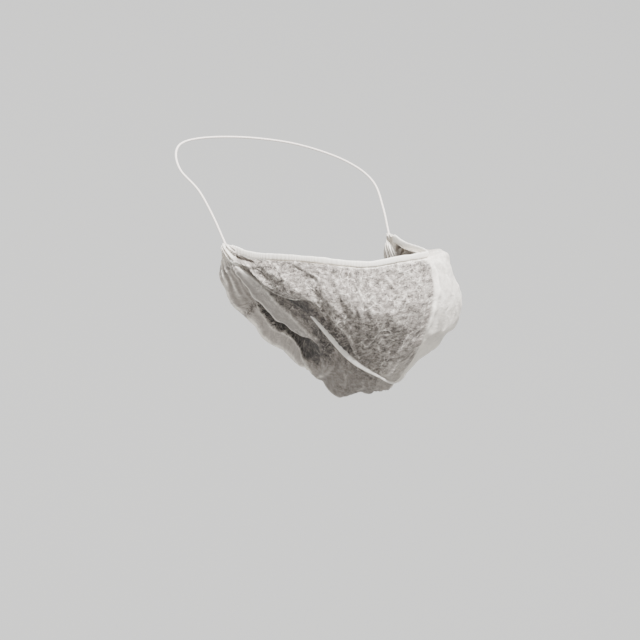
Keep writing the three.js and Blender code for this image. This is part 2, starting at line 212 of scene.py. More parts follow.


# Covered elastic: polyester yarn wound round rubber, so it is matt and faintly pink, with painted
# shade in the grooves between the turns, and fuzzy where the light grazes it.
def covered_elastic_material():
    material = new_material("covered_elastic")
    flat = add_node(material, "TexCoord").outputs["UV"]
    turns = add_node(material, "TexWave", {
        "Vector": flat, "Scale": WAVE_LENGTH_AT_ONE / YARN_PITCH, "Distortion": 1.5,
        "Detail": 1.0, "Detail Scale": 2.0,
    }, bands_direction="Y", wave_profile="SIN")
    fuzz = add_node(material, "TexNoise", {"Vector": flat, "Scale": 2500.0, "Detail": 3.0})
    tint = add_node(material, "Mix", {
        0: rescaled(material, turns.outputs["Fac"], 0.0, 0.7),
        6: colour(ELASTIC_GROOVE_SHADE_COLOUR),
        7: colour(ELASTIC_COLOUR),
    }, data_type="RGBA")
    height = add_node(material, "Math", {
        0: turns.outputs["Fac"], 1: 0.7, 2: fuzz.outputs["Fac"],
    }, operation="MULTIPLY_ADD")
    bump = add_node(material, "Bump", {
        "Height": height.outputs[0], "Strength": 0.4, "Distance": 0.0002,
    })
    yarn = add_node(material, "BsdfPrincipled", {
        "Base Color": tint.outputs[2], "Roughness": 0.75, "Sheen Weight": 0.3,
        "Sheen Roughness": 0.5, "Normal": bump.outputs[0],
    })
    add_node(material, "OutputMaterial", {"Surface": yarn.outputs[0]})
    return material


right_half = ELASTIC_ROUTE * (-HALF_WIDTH, LOOP_BACK, LOOP_RISE)
left_half = (right_half * (-1, 1, 1))[-2::-1]
right_exit = np.array([ELASTIC_EXIT])
left_exit = right_exit * (-1, 1, 1)
elastic_line = path_through(
    np.concatenate([right_exit, right_half, left_half, left_exit]), ELASTIC_STEPS
)

# Straight stretches caught in the bunches, on from both ends of the line
tuck_steps = np.linspace(1, 0, TUCK_STEPS, endpoint=False)[:, None] * ELASTIC_TUCK
first_way = unit(elastic_line[0] - elastic_line[1])
last_way = unit(elastic_line[-1] - elastic_line[-2])
elastic_path = np.concatenate([
    elastic_line[0] + first_way * tuck_steps,
    elastic_line,
    (elastic_line[-1] + last_way * tuck_steps)[::-1],
])

elastic_along = unit(np.gradient(elastic_path, axis=0))
elastic_aside = unit(np.cross(elastic_along, elastic_path - LOOP_MIDDLE))
elastic_out = np.cross(elastic_aside, elastic_along)
elastic_run = distances_along(elastic_path)
round_angle = np.arange(ELASTIC_SIDES) * 2 * np.pi / ELASTIC_SIDES
winding = 2 * np.pi * elastic_run[:, None] / YARN_PITCH + round_angle
elastic_radius = ELASTIC_DIAMETER / 2 * (1 - YARN_RELIEF / 2 + YARN_RELIEF / 2 * np.cos(winding))
elastic_places = carried(
    elastic_path, elastic_radius * np.cos(round_angle), elastic_aside,
    elastic_radius * np.sin(round_angle), elastic_out,
)
elastic_flat = flat_places(round_angle * ELASTIC_DIAMETER / 2, elastic_run[:, None])
covered_elastic = covered_elastic_material()
head_elastic = mesh_piece(
    "head_elastic_cord", elastic_places,
    ring_faces(len(elastic_path), ELASTIC_SIDES), covered_elastic, elastic_flat,
)
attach(head_elastic, "root")
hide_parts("head_elastic")


# Pouch
# The net itself: one layer of spunbond polypropylene nonwoven of about 20 grams per square metre.
# It is cut far longer than the bands and gathered to them, so it wrinkles.
FRONT_REACH = 0.1065
NET_DROP = 0.102
PUFF_REACH = 0.023
SIDE_ROUNDNESS = 2.2
FRONT_ROUNDNESS = 1.4
BAND_TO_CLOTH = 0.0028
BUNCH_LENGTH = 0.013
CLOTH_TUCK = 0.0045
FLAT_LENGTH = 0.46
FLAT_DEPTH = 0.21
NET_THICKNESS = 0.00025
HELD_SHARE = 0.03
CLOTH_COLUMNS = 400
CLOTH_ROWS = 120

# One row for each section, from the right end to the left: the angle round the band's oval in
# degrees, the upper band's rise, and how far out, how far down and how square the cloth's fullest
# point is
BAND_SECTIONS = np.array([
    (0, 0.020, 0.03, 0.02, 0.0),
    (12, 0.000, 0.04, 0.03, 0.0),
    (23, -0.028, 0.09, 0.06, 0.1),
    (36, -0.029, 0.28, 0.13, 0.2),
    (50, -0.036, 0.42, 0.19, 0.2),
    (62, -0.053, 0.46, 0.25, 0.2),
    (74, -0.060, 0.42, 0.31, 0.2),
    (90, -0.031, 0.44, 0.35, 0.2),
    (108, -0.025, 0.65, 0.38, 0.4),
    (126, -0.037, 1.00, 0.36, 1.0),
    (144, -0.034, 0.96, 0.30, 1.0),
    (157, -0.028, 0.50, 0.15, 0.6),
    (168, 0.000, 0.17, 0.06, 0.2),
    (180, 0.020, 0.03, 0.02, 0.0),
])

# The same sections further down: the lower band, then the ruffle's free edge, each across, ahead
# and up as shares of HALF_WIDTH, FRONT_REACH and NET_DROP
LOWER_SECTIONS = np.array([
    (-1.00, 0.000, -0.030, -0.99, -0.020, -0.070),
    (-0.99, 0.110, -0.090, -0.99, -0.055, -0.180),
    (-0.93, 0.263, -0.165, -0.92, 0.000, -0.350),
    (-0.83, 0.470, -0.285, -0.74, 0.165, -0.555),
    (-0.69, 0.657, -0.412, -0.59, 0.290, -0.690),
    (-0.53, 0.742, -0.570, -0.42, 0.430, -0.835),
    (-0.33, 0.790, -0.725, -0.22, 0.535, -0.985),
    (-0.08, 0.817, -0.833, 0.00, 0.601, -0.968),
    (0.14, 0.790, -0.892, 0.20, 0.620, -0.930),
    (0.44, 0.657, -0.843, 0.47, 0.432, -0.824),
    (0.72, 0.451, -0.647, 0.70, 0.244, -0.647),
    (0.89, 0.245, -0.345, 0.88, 0.040, -0.430),
    (0.98, 0.100, -0.130, 0.98, -0.035, -0.220),
    (1.00, 0.000, -0.030, 0.99, -0.020, -0.070),
])

ROW_PLACES = np.linspace(0, 1, len(BAND_SECTIONS))

# How far down the cloth its five lines lie: top, shoulder, belly, lower band and free edge
LOWER_LINE = 0.64
LINE_PLACES = np.array([0, 0.16, 0.36, LOWER_LINE, 1])

# The shoulder's share of the way out and down, and what a fully square section adds to each
SHOULDER_OUT, SQUARE_OUT = 0.5, 0.16
SHOULDER_DOWN, SQUARE_DOWN = 0.35, -0.3


def knot_weights(knots, at):
    """How much each knot's value counts at each place, on the cubic through the knots whose
    slope at a knot is that of the line between its two neighbours."""
    last = len(knots) - 1
    i = np.clip(np.searchsorted(knots, at) - 1, 0, last - 1)
    before = np.maximum(np.arange(last + 1) - 1, 0)
    after = np.minimum(np.arange(last + 1) + 1, last)
    values = np.eye(last + 1)
    slopes = (values[after] - values[before]) / (knots[after] - knots[before])[:, None]
    span = (knots[i + 1] - knots[i])[..., None]
    t = (at - knots[i])[..., None] / span
    return cubic_between(t, span, values[i], values[i + 1], slopes[i], slopes[i + 1])


def oval_line(turn):
    """The upper band's line seen from above: half an oval whose roundness differs between its
    sides and its middle. turn is the angle round it in degrees."""
    side = np.cos(np.radians(turn))
    front = np.maximum(np.sin(np.radians(turn)), 0)
    across = -HALF_WIDTH * np.sign(side) * np.abs(side) ** (2 / SIDE_ROUNDNESS)
    ahead = -FRONT_REACH * front ** (2 / FRONT_ROUNDNESS)
    return np.stack([across, ahead, np.zeros_like(across)], axis=-1)


def oval_outward(turn):
    """Level direction out of the oval, square to the line through points 4 degrees aside."""
    along = oval_line(np.minimum(turn + 4, 180)) - oval_line(np.maximum(turn - 4, 0))
    return unit(np.stack([along[..., 1], -along[..., 0], along[..., 2]], axis=-1))


def band_point(across):
    """The upper band's centre line at a share of the way from the right end to the left."""
    turn, rise = np.moveaxis(knot_weights(ROW_PLACES, across) @ BAND_SECTIONS[:, :2], -1, 0)
    point = oval_line(turn)
    point[..., 2] = rise * NET_DROP
    return point


def plain_cloth(across, down):
    """The cloth without folds: five lines from end to end, each a smooth curve through the
    sections, and down the cloth a smooth curve through the five lines."""
    row = knot_weights(ROW_PLACES, across)
    turn, rise, out, drop, square = np.moveaxis(row @ BAND_SECTIONS, -1, 0)
    outward = oval_outward(turn)
    band = band_point(across)
    out = out * PUFF_REACH
    drop = drop * NET_DROP
    straight_down = np.array([0, 0, -1])
    shoulder_out = out * (SHOULDER_OUT + SQUARE_OUT * square)
    shoulder_down = np.maximum(drop * (SHOULDER_DOWN + SQUARE_DOWN * square), BAND_TO_CLOTH)
    lower = row @ (LOWER_SECTIONS * np.tile([HALF_WIDTH, -FRONT_REACH, NET_DROP], 2))
    lines = np.stack([
        band + BAND_TO_CLOTH * straight_down,
        band + shoulder_out[..., None] * outward + shoulder_down[..., None] * straight_down,
        band + out[..., None] * outward + (drop + BAND_TO_CLOTH / 2)[..., None] * straight_down,
        lower[..., :3],
        lower[..., 3:],
    ], axis=-2)
    return np.einsum("...k,...kc->...c", knot_weights(LINE_PLACES, down), lines)


def cloth_frame(across, down):
    """Outward normal and downhill direction of the plain cloth, from nearby points."""
    step = 0.004
    uphill = plain_cloth(across, down - step)
    downhill = plain_cloth(across, down + step)
    right = plain_cloth(np.maximum(across - step, 0), down)
    left = plain_cloth(np.minimum(across + step, 1), down)
    return unit(np.cross(downhill - uphill, left - right)), unit(downhill - uphill)


def bell(value, width):
    """One where the value is nothing, and falling off on both sides as the exponential of minus
    the square of value over width."""
    return np.exp(-((value / width) ** 2))


def smooth_noise(x, y, seed):
    """Gradient noise from about -1 to 1, whose cells are one unit wide."""
    angles = np.random.default_rng(seed).uniform(0, 2 * np.pi, (128, 128))
    cell_x, cell_y = np.floor(x).astype(int), np.floor(y).astype(int)
    part_x, part_y = x - cell_x, y - cell_y

    def corner(step_x, step_y):
        angle = angles[(cell_x + step_x) % 128, (cell_y + step_y) % 128]
        return np.cos(angle) * (part_x - step_x) + np.sin(angle) * (part_y - step_y)

    ease_x = part_x**3 * (part_x * (part_x * 6 - 15) + 10)
    ease_y = part_y**3 * (part_y * (part_y * 6 - 15) + 10)
    upper = corner(0, 0) * (1 - ease_x) + corner(1, 0) * ease_x
    lower = corner(0, 1) * (1 - ease_x) + corner(1, 1) * ease_x
    return 1.5 * (upper * (1 - ease_y) + lower * ease_y)


def sharp_noise(x, y, seed):
    """Noise with narrow crests like creases in crushed cloth: one less the size of the noise."""
    return 0.6 - np.sqrt(smooth_noise(x, y, seed) ** 2 + 0.004) * 2


# Folds and creases: each one's half width and height in metres, a negative height being a hollow,
# then its lip, which makes the side to the right of its run steep, so that it hangs over what is
# there, and the places that it runs through, as shares of the way across and down.
POUCH_FOLDS = {
    "fold under the hump": (0.006, 0.0016, 0.3, [
        (0.02, 0.35), (0.06, 0.56), (0.1, 0.52), (0.15, 0.33), (0.17, 0.34)]),
    "slit under the hump": (0.007, -0.0022, 0.0, [
        (0.04, 0.4), (0.09, 0.36), (0.12, 0.27), (0.165, 0.24)]),
    "lower fold crest": (0.006, 0.0009, 0.5, [
        (0.15, 0.34), (0.17, 0.5), (0.2, 0.55), (0.24, 0.52), (0.3, 0.43), (0.36, 0.38)]),
    "front crease": (0.0016, 0.0013, 0.0, [
        (0.494, 0.02), (0.498, 0.16), (0.516, 0.25), (0.54, 0.33)]),
    "short front crease": (0.0016, 0.0012, 0.0, [
        (0.412, 0.18), (0.431, 0.26), (0.445, 0.31), (0.47, 0.36)]),
    "level crease": (0.0022, 0.0004, 0.0, [
        (0.36, 0.42), (0.4, 0.385), (0.44, 0.36), (0.49, 0.36), (0.56, 0.37)]),
    "arc crease": (0.0018, 0.001, 0.0, [(0.53, 0.12), (0.55, 0.17), (0.568, 0.24), (0.575, 0.32)]),
    "lower front crease": (0.0015, 0.0013, 0.2, [
        (0.418, 0.47), (0.43, 0.54), (0.45, 0.58), (0.475, 0.6)]),
    "side crease": (0.0022, 0.001, 0.4, [(0.33, 0.5), (0.37, 0.49), (0.42, 0.53), (0.46, 0.58)]),
    "shade along the band": (0.0035, -0.0016, 0.0, [
        (0.31, 0.58), (0.37, 0.57), (0.42, 0.585), (0.47, 0.6)]),
    "slanting side crease": (0.002, 0.0009, 0.0, [
        (0.19, 0.12), (0.22, 0.2), (0.25, 0.31), (0.28, 0.37)]),
    "upper side crease": (0.0018, 0.0008, 0.0, [
        (0.24, 0.05), (0.27, 0.15), (0.31, 0.22), (0.35, 0.26)]),
    "edge of the puff": (0.0016, 0.0014, 0.0, [
        (0.618, 0.04), (0.608, 0.2), (0.587, 0.31), (0.586, 0.42), (0.606, 0.56)]),
    "beside the puff": (0.005, -0.0016, 0.0, [
        (0.585, 0.06), (0.575, 0.2), (0.566, 0.34), (0.575, 0.46)]),
    "puff shelf": (0.005, 0.003, 0.7, [(0.59, 0.42), (0.632, 0.41), (0.69, 0.42), (0.76, 0.45)]),
    "puff pleat": (0.003, 0.0005, 0.0, [(0.632, 0.03), (0.64, 0.2), (0.648, 0.34)]),
    "puff dent": (0.008, -0.003, 0.0, [(0.64, 0.25), (0.72, 0.24), (0.79, 0.28)]),
    "lower puff fold": (0.006, 0.0038, 0.5, [(0.66, 0.5), (0.74, 0.49), (0.84, 0.42)]),
    "far lower hollow": (0.006, -0.0036, 0.0, [(0.68, 0.57), (0.8, 0.57), (0.9, 0.54)]),
    "far side pleat": (0.006, 0.0026, 0.5, [(0.82, 0.34), (0.9, 0.4), (0.98, 0.5)]),
    "far upper pleat": (0.005, 0.0018, 0.3, [(0.84, 0.18), (0.91, 0.28), (0.98, 0.38)]),
}

# Real length and depth of the cloth as it is worn, which turn shares of it into metres
WORN_LENGTH = 0.30
WORN_DEPTH = 0.12

# The pale line on a crest, partly the doubled cloth of the crease and partly a painted highlight:
# its half width, how far apart its breaks lie, and the height of fold from which it is fully pale
CREST_HALF_WIDTH, CREST_BREAKS, PALE_HEIGHT = 0.0012, 0.006, 0.0011
FOLD_STEPS = 90


def line_through(places, steps):
    """Smooth line of that many points through a few places, both given as across and down."""
    places = np.array(places, float)
    return knot_weights(np.linspace(0, 1, len(places)), np.linspace(0, 1, steps)) @ places


def fold_relief(folds, across, down):
    """Height of the folds, how far they slide downhill, and how near each place is to a crest.

    A fold's height is a bell curve of the distance from its line, narrower on the lip's side,
    times the root of a sine that takes it to nothing at both ends.
    """
    height, slide, crest = (np.zeros_like(across) for _ in range(3))
    x, y = across * WORN_LENGTH, down * WORN_DEPTH
    for half_width, high, lip, places in folds.values():
        line = line_through(places, FOLD_STEPS) * (WORN_LENGTH, WORN_DEPTH)
        reach = 3 * half_width
        least, most = line.min(0) - reach, line.max(0) + reach
        near = (x > least[0]) & (x < most[0]) & (y > least[1]) & (y < most[1])
        off = np.stack([x[near], y[near]], axis=-1)[:, None] - line
        nearest = np.argmin((off**2).sum(-1), axis=1)
        off = off[np.arange(len(nearest)), nearest]
        way = unit(np.gradient(line, axis=0))[nearest]
        right = off[:, 1] * way[:, 0] - off[:, 0] * way[:, 1]
        apart = np.linalg.norm(off, axis=1)
        wide = half_width * np.where(right > 0, 1 - 0.75 * lip, 1)
        fade = np.sin(np.pi * nearest / (len(line) - 1)) ** 0.5
        height[near] += high * fade * bell(apart, wide)
        slide[near] += max(high, 0) * lip * fade * bell(apart, wide)
        if high > 0:
            broken = 0.55 + 0.6 * smooth_noise(x[near] / CREST_BREAKS, y[near] / CREST_BREAKS, 3)
            pale = min(high / PALE_HEIGHT, 1) * fade * broken
            narrow = pale * bell(apart, np.minimum(0.5 * wide, CREST_HALF_WIDTH))
            crest[near] = np.maximum(crest[near], narrow)
    return height, slide, crest


def band_hold(down):
    """Share of a fold's height that the bands leave: none at a band, nearly all away from it."""
    return (1 - bell(np.maximum(down, 0), HELD_SHARE)) * (1 - bell(down - LOWER_LINE, HELD_SHARE))


def fan_pleats(places):
    """Pleats that fan out from a point at each end, from -1 to 1: crests as the size of a sine of
    the angle about that point, seen from the side, with uneven spacing."""
    ahead = FAN_POINT[0] - places[..., 1]
    below = FAN_POINT[1] - places[..., 2]
    angle = np.arctan2(below, np.maximum(ahead, 1e-5)) / (np.pi / 2)
    uneven = smooth_noise(angle * 5, np.full_like(angle, 3.3), FAN_SEED)
    wave = np.sin(np.pi * (FAN_PLEATS * angle + 0.6 * uneven))
    return 1 - 2 * np.sqrt(wave**2 + 0.05)


def fan_distance(places):
    """Distance from the point that the nearer end's pleats fan out from, seen from the side."""
    return np.hypot(places[..., 1] - FAN_POINT[0], places[..., 2] - FAN_POINT[1])


def pleat_light_and_shade(across, down):
    """The pleats from both ends as painted light and shade: 1, a painted highlight, on a crest and
    -1, painted shade, between, fading with distance.
    """
    plain = plain_cloth(across, down)
    return fan_pleats(plain) * bell(fan_distance(plain), 2 * FAN_REACH)


def near_bunch(across, reach):
    """One at either bunch, fading away from it over reach, a share of the way across."""
    return np.exp(-across / reach) + np.exp(-(1 - across) / reach)


def ease(value, low, high):
    """Nothing below low, one above high, and a smooth step between them."""
    share = np.clip((value - low) / (high - low), 0, 1)
    return share * share * (3 - 2 * share)



def plateau(value, start, full, fading, end):
    """Nothing before start and after end, one from full to fading, and smooth steps between."""
    return ease(value, start, full) * (1 - ease(value, fading, end))


# Wrinkles: wavelengths and heights in metres
PUCKER_WAVE, PUCKER_HEIGHT, PUCKER_DEPTH = 0.0050, 0.0011, 0.10
PUCKER_DRIFT, PUCKER_PATCH = (0.018, 0.05), (0.012, 0.2)
FAN_POINT = (0.004, 0.0071)
# How strongly the fan pleats tint the cloth, as painted highlights on crests and painted shade
# between
PLEAT_LIGHT_AND_SHADE = 0.22
FAN_PLEATS, FAN_HEIGHT, FAN_REACH = 11, 0.0009, 0.026
FAN_SEED = 5
CALM_REACH = 0.060
CRUSH_SIZES = [(0.034, 0.0017), (0.017, 0.0013), (0.008, 0.0008), (0.004, 0.0004)]


def wrinkle_relief(across, down, seed):
    """Height of the wrinkles: puckers square to the bands, the pleats that fan out from both ends
    and crush creases of four sizes that lean down and forward, calm where those pleats are."""
    along = across * WORN_LENGTH
    deep = down * WORN_DEPTH
    uneven = smooth_noise(along / PUCKER_DRIFT[0], deep / PUCKER_DRIFT[1], seed)
    pucker = np.cos(2 * np.pi * (along / PUCKER_WAVE + 1.3 * uneven))
    from_upper = np.exp(-np.maximum(down, 0) / PUCKER_DEPTH)
    from_lower = np.exp(-np.abs(down - LOWER_LINE) / PUCKER_DEPTH)
    patch = smooth_noise(along / PUCKER_PATCH[0] + 40, deep / PUCKER_PATCH[1], seed + 1)
    strength = 0.6 + 0.8 * patch
    height = PUCKER_HEIGHT * pucker * strength * (0.8 * from_upper + from_lower)
    plain = plain_cloth(across, down)
    fade = bell(fan_distance(plain), FAN_REACH) * (1 - 0.75 * (across > 0.5))
    height += FAN_HEIGHT * fan_pleats(plain) * fade
    calm = 1 - 0.75 * bell(fan_distance(plain), CALM_REACH)
    lean_x = along * 0.85 - deep * 0.5
    lean_y = along * 0.5 + deep * 0.85
    for index, (size, high) in enumerate(CRUSH_SIZES):
        crush = sharp_noise(lean_x / size, lean_y / (size * 1.7), seed + 3 + index)
        height += high * crush * calm
    return height


def across_at(distance):
    """Share of the way across at a distance along the upper band from its right end."""
    shares = np.linspace(0, 0.2, 400)
    return float(np.interp(distance, distances_along(band_point(shares)), shares))


def grid_faces(columns, rows):
    """Faces between grid corners counted down each column, turned outward."""
    i, j = np.meshgrid(np.arange(columns), np.arange(rows), indexing="ij")
    a = (i * (rows + 1) + j).ravel()
    return np.stack([a, a + 1, a + rows + 2, a + rows + 1], axis=1)


def store_share(piece, name, values):
    """Keeps a number from 0 to 1 on each corner, for the material."""
    attribute = piece.data.attributes.new(name, "FLOAT", "POINT")
    attribute.data.foreach_set("value", np.clip(values, 0, 1).astype(np.float32).ravel())


# Zones of the cloth: upper left corner, lower right corner and softness of the edges, each as
# shares across and down, then the layers and the grain. Layers is how dense and white the cloth
# looks there, from one stretched layer to many, and in the zones of painted shade it is set low to
# paint the shade in hollows and under folds; grain is how strongly its fibres show.
ZONES = {
    "flap by the near end": ((-0.10, 0.40), (0.17, 1.10), (0.030, 0.05), 0.54, 0.22),
    "front panel": ((0.165, -0.10), (0.70, 0.52), (0.012, 0.04), 0.39, 1.05),
    "far side of the panel": ((0.50, -0.10), (0.70, 0.48), (0.040, 0.05), 0.42, 1.05),
    "lower front": ((0.34, 0.50), (0.62, 0.66), (0.030, 0.11), 0.39, 1.00),
    # Painted shade along the upper side of the lower band, under the lip
    "painted shade by the near lower band": ((0.20, 0.55), (0.46, 0.64), (0.020, 0.04), 0.21, 0.90),
    "pale lower right": ((0.553, 0.53), (0.70, 0.80), (0.018, 0.04), 0.68, 0.40),
    # Painted shade: the wedge below the lip, between the strip and the band, and the hollow under
    # the strip
    "painted shade in the wedge": ((0.18, 0.60), (0.345, 0.73), (0.012, 0.03), 0.25, 0.75),
    "painted shade between strip and band": ((0.33, 0.64), (0.405, 0.81), (0.016, 0.03), 0.12, 0.85),
    "painted shade in the hollow": ((0.295, 0.77), (0.385, 0.90), (0.014, 0.03), 0.03, 0.90),
}
PLAIN_LAYERS, PLAIN_GRAIN = 0.47, 0.45

# The far puff hangs free of the rest along this line of places down and across, and is the palest
# and plainest part: its paleness is painted light, of light shining through the thin cloth, and is
# strongest low down. It turns back into ordinary cloth toward the far end.
PUFF_LINE = [(-0.10, 0.615), (0.08, 0.607), (0.17, 0.598), (0.26, 0.586), (0.33, 0.581),
             (0.40, 0.583), (0.47, 0.594), (0.60, 0.615), (1.00, 0.66)]
PUFF_DOWN, PUFF_LAYERS_AND_LIGHT = (0.40, 0.50), (0.84, 1.00)
PUFF_GRAIN = 0.20
PUFF_FADE = (0.69, 0.82)


def zone_shares(across, down):
    """layers and grain at each place: each zone in turn takes over inside its soft-edged box, and
    the puff beyond its line."""
    layers = np.full_like(across, PLAIN_LAYERS)
    grain = np.full_like(across, PLAIN_GRAIN)
    for upper_left, lower_right, softness, zone_layers_and_shade, zone_grain in ZONES.values():
        inside = np.ones_like(across)
        for place, low, high, soft in zip((across, down), upper_left, lower_right, softness):
            inside *= plateau(place, low - soft, low + soft, high - soft, high + soft)
        layers += (zone_layers_and_shade - layers) * inside
        grain += (zone_grain - grain) * inside
    puff = ease(across - np.interp(down, *np.transpose(PUFF_LINE)), -0.002, 0.002)
    puff = puff * (1 - 0.85 * ease(across, *PUFF_FADE))
    layers += (np.interp(down, PUFF_DOWN, PUFF_LAYERS_AND_LIGHT) - layers) * puff
    grain += (PUFF_GRAIN - grain) * puff
    return layers, grain


# Spunbond polypropylene net: a web of fine white fibres laid at random and bonded in small dots.
# One stretched layer is a cloudy grey that shows what is behind it, and gathered or doubled it
# turns a milky white. The fibres are really about 0.02 mm thick and are drawn as wide as they need
# to show.
# The dark low end of the ramp also colours the painted shade in hollows and under folds
WEB_COLOURS = [(0.00, "#37322f"), (0.30, "#807871"), (0.62, "#b8b0a8"), (1.00, "#fffaf1")]
STRAND_SPACING = 0.0028
CLOUD_SIZE = 0.0060
SPECK_SPACING = 0.0030
CREASE_SIZE = 0.0085
CRUMPLE_SIZE = 0.012


def net_material(name):
    """Tone and cover come from how dense the fibres lie and from painted light and shade: the
    layers, which also hold painted shade in hollows and painted highlights on crests, and the grain
    kept on the mesh, plus strands in three directions, clouds, a few specks and the pale lines of a
    crumpled web."""
    material = new_material(name)

    def math_node(operation, first, second=0.0, third=0.0, clamp=False):
        return add_node(material, "Math", {0: first, 1: second, 2: third},
                        operation=operation, use_clamp=clamp).outputs[0]

    def noise_node(place, scale, detail, roughness=0.5, distortion=0.0):
        return add_node(material, "TexNoise", {
            "Vector": place, "Scale": scale, "Detail": detail, "Roughness": roughness,
            "Distortion": distortion,
        }, noise_dimensions="2D").outputs

    def cell_node(place, spacing, feature):
        return add_node(material, "TexVoronoi", {
            "Vector": place, "Scale": 1 / spacing, "Randomness": 1.0,
        }, voronoi_dimensions="2D", feature=feature).outputs

    flat = add_node(material, "TexCoord").outputs["UV"]
    layers = add_node(material, "Attribute", attribute_name="layers").outputs["Fac"]
    grain = add_node(material, "Attribute", attribute_name="grain").outputs["Fac"]
    strands = []
    for turn, stretch in ((0.35, 2.6), (-0.85, 2.2), (1.55, 2.4)):
        laid = add_node(material, "Mapping", {
            "Vector": flat, "Rotation": (0, 0, turn),
            "Scale": (1 / (STRAND_SPACING * stretch), 1 / STRAND_SPACING, 1),
        })
        noise = noise_node(laid.outputs[0], 1.0, 2.0, distortion=1.2)
        size = math_node("ABSOLUTE", math_node("SUBTRACT", noise["Fac"], 0.5))
        strands.append(rescaled(material, size, 0.0, 0.06, 1.0, 0.0))
    web = math_node("MAXIMUM", math_node("MAXIMUM", strands[0], strands[1]), strands[2])
    cloud = noise_node(flat, 1 / CLOUD_SIZE, 5.0, roughness=0.72)
    cloudy = rescaled(material, cloud["Fac"], 0.34, 0.66, -1.0, 1.0, clamp=False)
    speck = cell_node(flat, SPECK_SPACING, "F1")
    hole = rescaled(material, speck["Distance"], 0.10, 0.28, 1.0, 0.0)
    chance = add_node(material, "SeparateColor", {"Color": speck["Color"]}).outputs
    dark = math_node("MULTIPLY", hole, math_node("GREATER_THAN", chance[0], 0.78))
    bright = math_node("MULTIPLY", hole, math_node("GREATER_THAN", chance[1], 0.90))
    bend = noise_node(flat, 1 / (2 * CRUMPLE_SIZE), 2.0)
    bent = add_node(material, "VectorMath", {
        0: bend["Color"], 1: (CRUMPLE_SIZE, CRUMPLE_SIZE, 0), 2: flat,
    }, operation="MULTIPLY_ADD")
    cells = cell_node(bent.outputs[0], CRUMPLE_SIZE, "DISTANCE_TO_EDGE")
    edge = rescaled(material, cells["Distance"], 0.0, 0.07, 1.0, 0.0)
    crumple = math_node("MULTIPLY", edge, rescaled(material, bend["Fac"], 0.44, 0.58))
    pattern = math_node("MULTIPLY_ADD", web, 0.40, -0.18)
    for part, weight in ((cloudy, 0.24), (dark, -0.40), (bright, 0.40), (crumple, 0.36)):
        pattern = math_node("MULTIPLY_ADD", part, weight, pattern)
    density = math_node("MULTIPLY_ADD", pattern, grain, layers, clamp=True)
    tint = add_node(material, "ValToRGB", {"Fac": density})
    ramp = tint.color_ramp
    while len(ramp.elements) < len(WEB_COLOURS):
        ramp.elements.new(0.5)
    for element, (place, hex_code) in zip(ramp.elements, WEB_COLOURS):
        element.position = place
        element.color = colour(hex_code)
    cover = rescaled(material, density, 0.0, 0.85, 0.95, 0.96)
    crease = noise_node(flat, 1 / CREASE_SIZE, 3.0, distortion=0.6)
    crest = math_node("ABSOLUTE", math_node("SUBTRACT", crease["Fac"], 0.5))
    relief = math_node("MULTIPLY_ADD", crest, -3.0, math_node("MULTIPLY", web, 0.25))
    relief = math_node("MULTIPLY_ADD", crumple, 0.5, relief)
    bump = add_node(material, "Bump", {
        "Height": relief, "Strength": 0.55, "Distance": 0.0009,
    })
    fibres = add_node(material, "BsdfPrincipled", {
        "Base Color": tint.outputs[0], "Roughness": 0.55, "Sheen Weight": 0.15,
        "Normal": bump.outputs[0],
    })
    glow = add_node(material, "BsdfTranslucent", {
        "Color": tint.outputs[0], "Normal": bump.outputs[0],
    })
    cloth = add_node(material, "MixShader", {0: 0.28, 1: fibres.outputs[0], 2: glow.outputs[0]})
    gap = add_node(material, "BsdfTransparent")
    whole = add_node(material, "MixShader", {0: cover, 1: gap.outputs[0], 2: cloth.outputs[0]})
    add_node(material, "OutputMaterial", {"Surface": whole.outputs[0]})
    return material


def folded_down(share, bends, lines, plain, amount):
    """How far down the cloth lies and how far it stands off, for its share of the way along.

    Bends are taken in order along the cloth: the share of its own length, the line that the bend
    lies by, how far below that it lies and how far it stands off. Between bends the cloth is a
    smooth curve, and amount blends it with the plain cloth.
    """
    shares, names, below, off = zip(*bends)
    weights = knot_weights(np.array(shares), share)
    folded = sum(weights[..., k] * (lines[names[k]] + below[k]) for k in range(len(bends)))
    return plain + (folded - plain) * amount, weights @ np.array(off) * amount


def line_down(places, across):
    """The height of a line given by a few places, at each share of the way across."""
    places = np.array(places, float)
    return knot_weights(places[:, 0], np.clip(across, *places[[0, -1], 0])) @ places[:, 1]


spunbond_net = net_material("spunbond_net")
CLOTH_START = across_at(BUNCH_LENGTH - CLOTH_TUCK)
cloth_across, cloth_share = np.meshgrid(
    np.linspace(CLOTH_START, 1 - CLOTH_START, CLOTH_COLUMNS + 1),
    np.linspace(0, 1, CLOTH_ROWS + 1),
    indexing="ij",
)


def cloth_piece(name, places, layers, grain):
    """One sheet of the net with its tone. On the cloth laid flat a corner lies at its share of the
    whole length, and as far down as its own column runs, longer by as much as it is gathered."""
    steps = np.linalg.norm(np.diff(places, axis=1), axis=-1)
    down = np.concatenate([0 * steps[:, :1], np.cumsum(steps, axis=1)], axis=1)
    flat = np.stack([cloth_across * FLAT_LENGTH, down * FLAT_DEPTH / WORN_DEPTH], axis=-1)
    faces = grid_faces(CLOTH_COLUMNS, CLOTH_ROWS)
    piece = mesh_piece(name, places, faces, spunbond_net, flat, NET_THICKNESS)
    # The layers also hold painted shade and painted highlights, set for each sheet below
    store_share(piece, "layers", layers)
    store_share(piece, "grain", grain)
    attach(piece, "root")
    return piece


# Tones that the layers gain at a bunch, where the cloth is gathered, and at a crest and the edge of
# a fold's lip, where they are partly the doubled cloth and partly a painted highlight
BUNCH_TONE, BUNCH_TONE_REACH = 0.6, 0.070
CREST_TONE = 0.50
EDGE_TONE = 0.45

